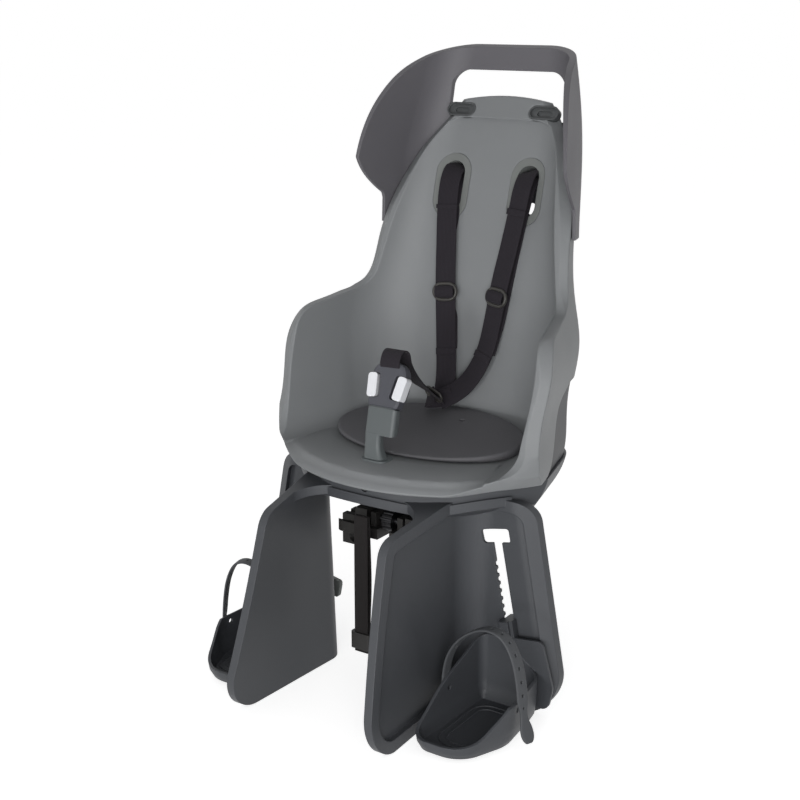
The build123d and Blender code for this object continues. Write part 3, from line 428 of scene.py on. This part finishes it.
def dress(node, material):
    """Gives a solid its finish and smooth shading across its triangles."""
    piece = frame["nodes"][node]
    piece.data.materials.clear()
    piece.data.materials.append(material)
    piece.data.polygons.foreach_set("use_smooth", [True] * len(piece.data.polygons))
    weld = piece.modifiers.new("Join triangles", "WELD")
    weld.merge_threshold = MERGE
    keep_creases(piece, CREASE)


def keep_creases(piece, angle):
    """Shades a piece smooth only across edges flatter than an angle."""
    split = piece.modifiers.new("Keep creases", "EDGE_SPLIT")
    split.split_angle = angle


def new_piece(name, shape, material, body):
    """Turns a finished bmesh into an object that rides on a body."""
    mesh = bpy.data.meshes.new(name)
    shape.normal_update()
    shape.to_mesh(mesh)
    shape.free()
    mesh.polygons.foreach_set("use_smooth", [True] * len(mesh.polygons))
    mesh.materials.append(material)
    piece = bpy.data.objects.new(name, mesh)
    bpy.context.scene.collection.objects.link(piece)
    if body:
        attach(piece, body)
    return piece


def smooth_line(route, steps=14):
    """Points along the NURBS spline that has a route's points as its control points, in metres."""
    curve = bpy.data.curves.new("strap_line", "CURVE")
    curve.dimensions = "3D"
    curve.resolution_u = steps
    spline = curve.splines.new("NURBS")
    spline.points.add(len(route) - 1)
    for point, place in zip(spline.points, route):
        point.co = (*(value / 1000 for value in place), 1)
    spline.order_u = 3
    spline.use_endpoint_u = True
    holder = bpy.data.objects.new("strap_line", curve)
    mesh = bpy.data.meshes.new_from_object(holder)
    line = [vertex.co.copy() for vertex in mesh.vertices]
    bpy.data.meshes.remove(mesh)
    bpy.data.objects.remove(holder)
    bpy.data.curves.remove(curve)
    return line


def flat_strap(line, width, facing=None, across=None, outline=((0, 1), (1, 1)), columns=4):
    """One layer of strap along a line, with its map in metres.

    Its face looks towards facing, or else its width lies along across, which may turn from one direction at
    the start to another at the end. The outline gives the share of the width at shares of the length.
    """
    rows = len(line) - 1
    reach = [0.0]
    for before, after in zip(line, line[1:]):
        reach.append(reach[-1] + (after - before).length)
    shape = bmesh.new()
    layer = shape.loops.layers.uv.new("strap")
    bmesh.ops.create_grid(shape, x_segments=columns, y_segments=rows, size=0.5, calc_uvs=True)
    for vertex in shape.verts:
        row = round((vertex.co.y + 0.5) * rows)
        share = reach[row] / reach[-1]
        along = (line[min(row + 1, rows)] - line[max(row - 1, 0)]).normalized()
        if facing:
            side = along.cross(Vector(facing))
        else:
            side = Vector(across[0]).lerp(Vector(across[-1]), share)
            side -= along * side.dot(along)
        vertex.co = line[row] + side.normalized() * vertex.co.x * width * between(outline, share)
    for face in shape.faces:
        for loop in face.loops:
            place = loop[layer].uv
            loop[layer].uv = (place.x * width, reach[round(place.y * rows)])
    bmesh.ops.recalc_face_normals(shape, faces=shape.faces)
    return shape


def between(stops, share):
    """Value at a share of the way along stops of (share, value)."""
    for (start, low), (end, high) in zip(stops, stops[1:]):
        if share <= end:
            return low + (high - low) * (share - start) / (end - start)
    return stops[-1][1]


def thicken(piece, thickness, edge=0.0004):
    """Gives a flat piece its thickness, half to each side, and soft edges."""
    wall = piece.modifiers.new("Thickness", "SOLIDIFY")
    wall.thickness = thickness
    wall.offset = 0
    soft = piece.modifiers.new("Soft edges", "BEVEL")
    soft.width = edge
    soft.segments = 2
    soft.limit_method = "ANGLE"
    return piece


def oval_ring(width, height, tube_wide, tube_deep):
    """Ring with round ends and straight long sides, in the XY plane."""
    shape = bmesh.new()
    bmesh.ops.create_circle(shape, segments=14, radius=0.5)
    bmesh.ops.scale(shape, vec=(tube_wide, tube_deep, 1), verts=shape.verts)
    bmesh.ops.rotate(shape, matrix=Matrix.Rotation(math.pi / 2, 3, "X"), verts=shape.verts)
    bmesh.ops.translate(shape, vec=((height - tube_wide) / 2, 0, 0), verts=shape.verts)
    bmesh.ops.spin(
        shape, geom=shape.verts[:] + shape.edges[:], cent=(0, 0, 0), axis=(0, 0, 1), angle=2 * math.pi,
        steps=40, use_merge=True)
    for vertex in shape.verts:
        if abs(vertex.co.x) > 1e-6:
            vertex.co.x += math.copysign((width - height) / 2, vertex.co.x)
    bmesh.ops.remove_doubles(shape, verts=shape.verts, dist=1e-6)
    bmesh.ops.recalc_face_normals(shape, faces=shape.faces)
    return shape


def lay_on_strap(shape, place, across, along):
    """Turns a shape made flat at the origin to lie on a strap, its front outwards."""
    along = along.normalized()
    across = (across - along * across.dot(along)).normalized()
    turn = Matrix((across, along, across.cross(along))).transposed().to_4x4()
    turn.translation = place
    bmesh.ops.transform(shape, matrix=turn, verts=shape.verts)
    return shape


def stretch(line, low, high):
    """Points of a line between two heights."""
    return [point for point in line if low <= point.z <= high]


def ease(value, start, end):
    """Smooth step from none at the start to one at the end."""
    share = min(1, max(0, (value - start) / (end - start)))
    return share * share * (3 - 2 * share)


def new_ring(grown):
    """Points and edges of the open ring that an extrusion has made."""
    points = {part for part in grown["geom"] if isinstance(part, bmesh.types.BMVert)}
    edges = [part for part in grown["geom"] if isinstance(part, bmesh.types.BMEdge) and points.issuperset(part.verts)]
    return points, edges


class SEAT_OT_shells(bpy.types.Operator):
    """Make the bucket with its rolled front edge and finish the other shells, the wing and the base frame"""

    bl_idname = "seat.shells"
    bl_label = "Finish Shells"

    def execute(self, context):
        colours = context.scene.seat_colours
        pale = moulded_plastic("front_shell_plastic", colours.front_shell, 0.5, round_edge=0.003, edge_highlight=0.1)
        self.bucket(pale)
        dark = moulded_plastic("rear_shell_plastic", colours.rear_shell, 0.55)
        dress("rear_shell", dark)
        for side, way in SIDES.items():
            self.guide_back(f"{side}_guide_back", way, dark)
        dress("head_wing", moulded_plastic("wing_plastic", colours.wing, 0.5, round_edge=0.0015))
        dress("base_frame", moulded_plastic("frame_plastic", colours.frame, 0.5, round_edge=0.0015))
        return {"FINISHED"}

    def bucket(self, plastic):
        """The bucket with its front edge rolled over; the rest follows the solid."""
        shape = bmesh.new()
        shape.from_mesh(frame["nodes"]["seat_shell"].data)
        bmesh.ops.remove_doubles(shape, verts=shape.verts, dist=MERGE)
        for _ in range(LIP_CUTS):
            wide = [edge for edge in shape.edges if edge.calc_length() > LIP_GRAIN and self.on_lip(edge)]
            bmesh.ops.subdivide_edges(shape, edges=wide, cuts=1)
            bmesh.ops.triangulate(shape, faces=[face for face in shape.faces if len(face.verts) > 3])
        for vertex in shape.verts:
            vertex.co.z += self.roll(vertex.co)
        piece = new_piece("rolled_bucket", shape, plastic, "seat")
        keep_creases(piece, CREASE)
        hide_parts("seat_shell")

    def guide_back(self, name, way, plastic):
        """Plate with a round hole across the back of a harness slot; the straps pass through its upper part."""
        shape = bmesh.new()
        bmesh.ops.create_circle(shape, segments=48, radius=1.0)
        rim, _ = new_ring(bmesh.ops.extrude_edge_only(shape, edges=shape.edges[:]))
        for vertex in shape.verts:
            x, rise = vertex.co.x * GUIDE_HOLE, GUIDE_HALF + vertex.co.y * GUIDE_HOLE
            if vertex in rim:
                x = vertex.co.x * GUIDE_HALF
                rise = vertex.co.y * GUIDE_HALF + (GUIDE_HALF if vertex.co.y < 0 else GUIDE_RISE - GUIDE_HALF)
            vertex.co = GUIDE_FOOT + Vector((x, 0, 0)) + GUIDE_UP * rise
            vertex.co.x *= way
        bmesh.ops.recalc_face_normals(shape, faces=shape.faces)
        thicken(new_piece(name, shape, plastic, "seat"), GUIDE_PLATE)

    def on_lip(self, edge):
        """Tells whether the roll moves either end or the middle of an edge."""
        start, end = (vertex.co for vertex in edge.verts)
        return any(abs(self.roll(place)) > MERGE for place in (start, end, (start + end) / 2))

    def roll(self, place):
        """Rise of a point of the bucket's floor or skirt that rolls the front edge over."""
        angle = math.atan2(abs(place.x), LIP_CENTRE - place.y)
        grow = LIP_GROW * (place.z - LIP_LOW) / (LIP_HIGH - LIP_LOW)
        depth = LIP_RADIUS + grow * math.sin(angle) ** 2 - math.hypot(place.x, place.y - LIP_CENTRE)
        share = (place.z - SKIRT_FOOT) / (PAN_TOP - SKIRT_FOOT)
        in_height = -LIP_SLACK < share < 1 + LIP_SLACK
        if not (LIP_FRONT < depth < LIP_REACH[1] and in_height and place.y < LIP_BACK):
            return 0.0
        near = min(1, max(0, depth) / LIP_REACH[0])
        curve = 0.5 * math.sin(near * math.pi / 2) + 0.5 * math.sqrt(1 - (1 - near) ** 2)
        crest = LIP_CREST * (1 - ease(depth, *LIP_REACH))
        foot = SKIRT_FOOT - LIP_FALL * (1 - ease(depth, *SKIRT_WALL))
        top = foot + LIP_BAND + (PAN_TOP + crest - foot - LIP_BAND) * curve
        fade = 1 - ease(abs(place.x), *LIP_FADE)
        return (foot + (top - foot) * share - place.z) * fade


class SEAT_OT_fittings(bpy.types.Operator):
    """Finish the harness fittings, the rack bracket and the fasteners"""

    bl_idname = "seat.fittings"
    bl_label = "Finish Fittings"

    def execute(self, context):
        colours = context.scene.seat_colours
        buckle = moulded_plastic("buckle_plastic", colours.buckle, 0.42)
        button = moulded_plastic("button_plastic", colours.button, 0.35, edge_highlight=0.0)
        guide = moulded_plastic("guide_plastic", colours.guide, 0.5)
        socket = moulded_plastic("socket_plastic", colours.socket, 0.4)
        bracket = moulded_plastic("bracket_plastic", colours.bracket, 0.5)
        bar = moulded_plastic("bar_plastic", colours.frame, 0.5)
        zinc = plated_steel("zinc_steel", colours.zinc)
        dress("crotch_post", moulded_plastic("post_plastic", colours.post, 0.45))
        dress("harness_buckle", buckle)
        for side in SIDES:
            dress(f"{side}_release_button", button)
            dress(f"{side}_harness_guide", guide)
            dress(f"{side}_crown_socket", socket)
            dress(f"{side}_harness_bar", bar)
            dress(f"{side}_rack_jaw", bracket)
        dress("rack_bracket", bracket)
        dress("safety_buckle", bracket)
        dress("clamp_spindle", zinc)
        dress("bracket_bolts", zinc)
        dress("housing_screws", zinc)
        return {"FINISHED"}


class SEAT_OT_footrests(bpy.types.Operator):
    """Finish the footrests and their clips"""

    bl_idname = "seat.footrests"
    bl_label = "Finish Footrests"

    def execute(self, context):
        colours = context.scene.seat_colours
        # The trays' rims carry a strong painted edge highlight
        tray = moulded_plastic("footrest_plastic", colours.footrest, 0.48, round_edge=0.0012, edge_highlight=0.5)
        clip = moulded_plastic("clip_plastic", colours.clip, 0.45)
        for side in SIDES:
            dress(f"{side}_footrest", tray)
            dress(f"{side}_footrest_clip", clip)
        return {"FINISHED"}


class SEAT_OT_pad(bpy.types.Operator):
    """Make the crowned foam pad with its vent"""

    bl_idname = "seat.pad"
    bl_label = "Make Seat Pad"

    def execute(self, context):
        self.sizes = context.scene.seat_sizes
        self.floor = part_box("seat_pad")[0][2] + PAD_LIFT
        shape = bmesh.new()
        bmesh.ops.create_circle(shape, segments=128, radius=1.0)
        edges = shape.edges[:]
        bmesh.ops.edgeloop_fill(shape, edges=edges)
        for _ in range(len(PAD_WALL) + len(PAD_TOP_RINGS) + 1):
            ring, edges = new_ring(bmesh.ops.extrude_edge_only(shape, edges=edges))
            bmesh.ops.translate(shape, vec=(0, 0, 1), verts=list(ring))
        bmesh.ops.edgeloop_fill(shape, edges=edges)
        for vertex in shape.verts:
            vertex.co = self.point(Vector((vertex.co.x, vertex.co.y, 0)), round(vertex.co.z))
        bmesh.ops.recalc_face_normals(shape, faces=shape.faces)
        colours = context.scene.seat_colours
        pad = new_piece("seat_cushion", shape, foam("pad_foam", colours.foam), "seat")
        keep_creases(pad, math.radians(50))
        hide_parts("seat_pad")
        return {"FINISHED"}

    def top(self, place):
        """Height of the pad's top, tilted and crowned."""
        offset = place - Vector(self.sizes.pad_middle)
        spread = min(1, sum((offset[i] / self.sizes.pad_half[i]) ** 2 for i in (0, 1)))
        rise = offset.y * math.tan(self.sizes.pad_tilt)
        return self.sizes.pad_middle[2] + rise + self.sizes.pad_crown * (1 - spread)

    def point(self, ray, step):
        """Place of a point of one ring, on the ray from the pad's middle."""
        middle = Vector((*self.sizes.pad_middle[:2], 0))
        vent = Vector((*self.sizes.pad_vent[:2], 0)) + ray * self.sizes.pad_vent[2]
        rim = Vector((ray.x * self.sizes.pad_half[0], ray.y * self.sizes.pad_half[1], 0))
        if step < len(PAD_WALL):
            inset, share = PAD_WALL[step]
            place = middle + rim - rim.normalized() * inset
            place.z = self.floor + (self.top(place) - self.floor) * share
            return place
        step -= len(PAD_WALL)
        edge = middle + rim - rim.normalized() * PAD_WALL[-1][0]
        if step < len(PAD_TOP_RINGS):
            place = edge.lerp(vent, PAD_TOP_RINGS[step])
            place.z = self.top(place)
            return place
        place = vent
        place.z = self.top(place) - VENT_DEPTH
        return place


class SEAT_OT_harness(bpy.types.Operator):
    """Make the shoulder straps, the centre strap and the slider where they meet"""

    bl_idname = "seat.harness"
    bl_label = "Make Harness"

    def execute(self, context):
        sizes = context.scene.seat_sizes
        colours = context.scene.seat_colours
        self.width, self.thickness = sizes.webbing_width, sizes.webbing_thickness
        self.weave = woven_webbing("harness_weave", colours.webbing)
        self.fitting = moulded_plastic("adjuster_plastic", colours.adjuster, 0.32)
        for side in SIDES:
            line = smooth_line(SHOULDER_ROUTES[side])
            strap = self.strap(side, "shoulder_webbing", line)
            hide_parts(f"{side}_shoulder_strap")
            self.strap(side, "return_webbing", smooth_line(RETURN_ROUTES[side]))
            out = Vector(SHOULDER_FACING[side]).normalized() * self.thickness
            self.strap(side, "sewn_hem", [point + out for point in stretch(line, *HEM)])
            self.strap(side, "keeper", [point + out for point in stretch(line, *KEEPER)], KEEPER_SHARE)
            self.adjuster(side, line, sizes.adjuster)
        centre = flat_strap(smooth_line(CENTRE_ROUTE), self.width, across=CENTRE_TURN)
        piece = thicken(new_piece("centre_webbing", centre, self.weave, "seat"), self.thickness)
        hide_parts("centre_strap")
        fold = flat_strap(smooth_line(FOLD_ROUTE), self.width * FOLD_SHARE, across=FOLD_TURN)
        thicken(new_piece("junction_fold", fold, self.weave, "seat"), self.thickness)
        slider = lay_on_strap(oval_ring(*SLIDER_SIZE), SLIDER_PLACE, SLIDER_ACROSS, SLIDER_ALONG)
        new_piece("junction_slider", slider, self.fitting, "seat")
        return {"FINISHED"}

    def strap(self, side, name, line, share=1.0):
        """One layer of shoulder webbing, its width a share of the full width."""
        shape = flat_strap(line, self.width * share, facing=SHOULDER_FACING[side])
        return thicken(new_piece(f"{side}_{name}", shape, self.weave, "seat"), self.thickness)

    def adjuster(self, side, line, size):
        """Oval adjuster ring with the loop of webbing in it; both ride on the adjuster's body."""
        low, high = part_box(f"{side}_strap_adjuster")
        level = (low[2] + high[2]) / 2
        row = min(range(len(line)), key=lambda i: abs(line[i].z - level))
        along = line[row - 2] - line[row + 2]
        across = along.cross(Vector(SHOULDER_FACING[side]))
        place = line[row] + across.cross(along).normalized() * ADJUSTER_LIFT
        wide, tall, deep = size
        ring = lay_on_strap(oval_ring(wide, tall, ADJUSTER_BAR, deep), place, across, along)
        ring = new_piece(f"{side}_adjuster_ring", ring, self.fitting, f"{side}_strap_adjuster")
        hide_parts(f"{side}_strap_adjuster")
        loop = flat_strap(smooth_line(LOOP_ROUTE, 8), self.width * LOOP_SHARE, across=[(1, 0, 0)])
        lay_on_strap(loop, place, across, along)
        loop = new_piece(f"{side}_adjuster_loop", loop, self.weave, f"{side}_strap_adjuster")
        thicken(loop, self.thickness)


class SEAT_OT_safety_strap(bpy.types.Operator):
    """Make the doubled safety strap under the seat"""

    bl_idname = "seat.safety_strap"
    bl_label = "Make Safety Strap"

    def execute(self, context):
        sizes = context.scene.seat_sizes
        weave = woven_webbing("safety_weave", context.scene.seat_colours.safety)
        for layer, route in SAFETY_ROUTES.items():
            shape = flat_strap(smooth_line(route), sizes.safety_width, across=[(1, 0, 0)])
            strap = new_piece(f"safety_{layer}_webbing", shape, weave, "seat")
            thicken(strap, sizes.webbing_thickness)
            if layer == "front":
                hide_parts("safety_strap")
        return {"FINISHED"}


class SEAT_OT_foot_straps(bpy.types.Operator):
    """Make the pierced rubber straps over the footrests"""

    bl_idname = "seat.foot_straps"
    bl_label = "Make Foot Straps"

    def execute(self, context):
        sizes = context.scene.seat_sizes
        rubber = moulded_plastic("strap_rubber", context.scene.seat_colours.rubber, 0.6, edge_highlight=0.1)
        for side, way in SIDES.items():
            line = smooth_line([(x * way, y, z) for x, y, z in FOOT_ROUTE], 5)
            shape = flat_strap(line, sizes.rubber_width, across=FOOT_TURN[side], outline=FOOT_OUTLINE, columns=3)
            self.pierce(shape, sizes.rubber_width)
            strap = new_piece(f"{side}_foot_rubber", shape, rubber, f"{side}_footrest")
            wall = strap.modifiers.new("Thickness", "SOLIDIFY")
            wall.thickness = sizes.rubber_thickness
            wall.offset = 0
            smooth = strap.modifiers.new("Round edges", "SUBSURF")
            smooth.levels = smooth.render_levels = 2
            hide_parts(f"{side}_foot_strap")
        return {"FINISHED"}

    def pierce(self, shape, width):
        """Opens a row of triangular holes along the middle of the strap."""
        layer = shape.loops.layers.uv.active
        holes = []
        for face in shape.faces:
            across = sum(loop[layer].uv.x for loop in face.loops) / 4
            along = sum(loop[layer].uv.y for loop in face.loops) / 4
            if abs(across - width / 2) < width / 8:
                holes.append((along, face))
        holes.sort(key=lambda hole: hole[0])
        start, end = HOLE_STRETCH
        holes = [face for along, face in holes if start < along < end][::HOLE_STEP]
        bmesh.ops.inset_individual(shape, faces=holes, thickness=HOLE_RIM, use_even_offset=True)
        for face in holes:
            loops = sorted(face.loops, key=lambda loop: loop[layer].uv.y)
            middle = (loops[2].vert.co + loops[3].vert.co) / 2
            for loop in loops[2:]:
                loop.vert.co = loop.vert.co.lerp(middle, HOLE_POINT)
        bmesh.ops.delete(shape, geom=holes, context="FACES_ONLY")


class SEAT_OT_stage(bpy.types.Operator):
    """Set the floor, the studio light and the camera"""

    bl_idname = "seat.stage"
    bl_label = "Set Stage"

    def execute(self, context):
        scene = context.scene
        stage = scene.seat_stage
        scene.view_settings.view_transform = "Standard"
        self.floor(CAD_BOX[0][2] - FLOOR_GAP, stage.ambient)
        self.world(scene, stage.ambient)
        for name, (place, size, power) in LAMPS.items():
            self.lamp(name, Vector(place), size, getattr(stage, power))
        self.camera(scene, stage)
        return {"FINISHED"}

    def floor(self, height, ambient):
        """White floor that keeps the seat's shadow; its glow is seen but doesn't light."""
        shape = bmesh.new()
        bmesh.ops.create_grid(shape, x_segments=1, y_segments=1, size=FLOOR_HALF)
        bmesh.ops.translate(shape, vec=(0, 0, height), verts=shape.verts)
        tree = ShaderTree("floor_paper")
        tree.finish(base_color=(*[FLOOR_GREY] * 3, 1), roughness=0.9, specular_ior_level=0.0)
        seen = self.seen(tree.nodes, tree.material.node_tree.links)
        glow = tree.add("Math", {0: seen, 1: 1 - FLOOR_GREY * ambient}, operation="MULTIPLY")
        tree.finish(emission_color=(1, 1, 1, 1), emission_strength=glow.outputs["Value"])
        new_piece("studio_floor", shape, tree.material, None)

    def seen(self, nodes, links):
        """One where a surface is seen by the camera, in a gloss or through glass, and none where it lights."""
        path = nodes.new("ShaderNodeLightPath")
        mirror = nodes.new("ShaderNodeMath")
        mirror.operation = "MAXIMUM"
        either = nodes.new("ShaderNodeMath")
        either.operation = "MAXIMUM"
        links.new(path.outputs["Is Glossy Ray"], mirror.inputs[0])
        links.new(path.outputs["Is Transmission Ray"], mirror.inputs[1])
        links.new(path.outputs["Is Camera Ray"], either.inputs[0])
        links.new(mirror.outputs["Value"], either.inputs[1])
        return either.outputs["Value"]

    def world(self, scene, ambient):
        """White where it is seen, and the even light's strength where it lights."""
        scene.world = bpy.data.worlds.new("studio")
        scene.world.use_nodes = True
        nodes = scene.world.node_tree.nodes
        links = scene.world.node_tree.links
        back = nodes["Background"]
        back.inputs["Color"].default_value = (1, 1, 1, 1)
        strength = nodes.new("ShaderNodeMapRange")
        strength.inputs["To Min"].default_value = ambient
        links.new(self.seen(nodes, links), strength.inputs["Value"])
        links.new(strength.outputs["Result"], back.inputs["Strength"])

    def lamp(self, name, place, size, power):
        """Square softbox turned to the seat."""
        light = bpy.data.lights.new(name, "AREA")
        light.energy = power
        light.size = size
        lamp = bpy.data.objects.new(name, light)
        lamp.location = place
        lamp.rotation_euler = (LAMP_AIM - place).to_track_quat("-Z", "Y").to_euler()
        bpy.context.scene.collection.objects.link(lamp)

    def camera(self, scene, stage):
        """Camera placed and turned as the photo's."""
        turn, rise = stage.azimuth, stage.elevation
        back = Vector((math.sin(turn) * math.cos(rise), -math.cos(turn) * math.cos(rise), math.sin(rise)))
        right = Vector((math.cos(turn), math.sin(turn), 0))
        data = bpy.data.cameras.new("photo_camera")
        data.lens = stage.lens
        camera = bpy.data.objects.new("photo_camera", data)
        camera.location = Vector(stage.aim) + back * stage.distance - right * stage.pan
        camera.rotation_euler = (-back).to_track_quat("-Z", "Y").to_euler()
        scene.collection.objects.link(camera)
        scene.camera = camera


OPERATORS = (
    SEAT_OT_shells, SEAT_OT_fittings, SEAT_OT_footrests, SEAT_OT_pad, SEAT_OT_harness, SEAT_OT_safety_strap,
    SEAT_OT_foot_straps, SEAT_OT_stage)


class SEAT_PT_panel(bpy.types.Panel):
    """Lists the seat's operators and settings"""

    bl_idname = "SEAT_PT_panel"
    bl_label = "Bicycle Seat"
    bl_space_type = "VIEW_3D"
    bl_region_type = "UI"
    bl_category = "Bicycle Seat"

    def draw(self, context):
        for operator in OPERATORS:
            self.layout.operator(operator.bl_idname)
        for group in (context.scene.seat_sizes, context.scene.seat_colours, context.scene.seat_stage):
            box = self.layout.box()
            for name in group.__annotations__:
                box.prop(group, name)


CLASSES = (SeatColours, SeatSizes, SeatStage, *OPERATORS, SEAT_PT_panel)


def register():
    for cls in CLASSES:
        bpy.utils.register_class(cls)
    bpy.types.Scene.seat_colours = bpy.props.PointerProperty(type=SeatColours)
    bpy.types.Scene.seat_sizes = bpy.props.PointerProperty(type=SeatSizes)
    bpy.types.Scene.seat_stage = bpy.props.PointerProperty(type=SeatStage)


def unregister():
    del bpy.types.Scene.seat_stage
    del bpy.types.Scene.seat_sizes
    del bpy.types.Scene.seat_colours
    for cls in reversed(CLASSES):
        bpy.utils.unregister_class(cls)


def main():
    register()
    bpy.ops.seat.shells()
    bpy.ops.seat.fittings()
    bpy.ops.seat.footrests()
    bpy.ops.seat.pad()
    bpy.ops.seat.harness()
    bpy.ops.seat.safety_strap()
    bpy.ops.seat.foot_straps()
    bpy.ops.seat.stage()


if __name__ == "__main__":
    main()
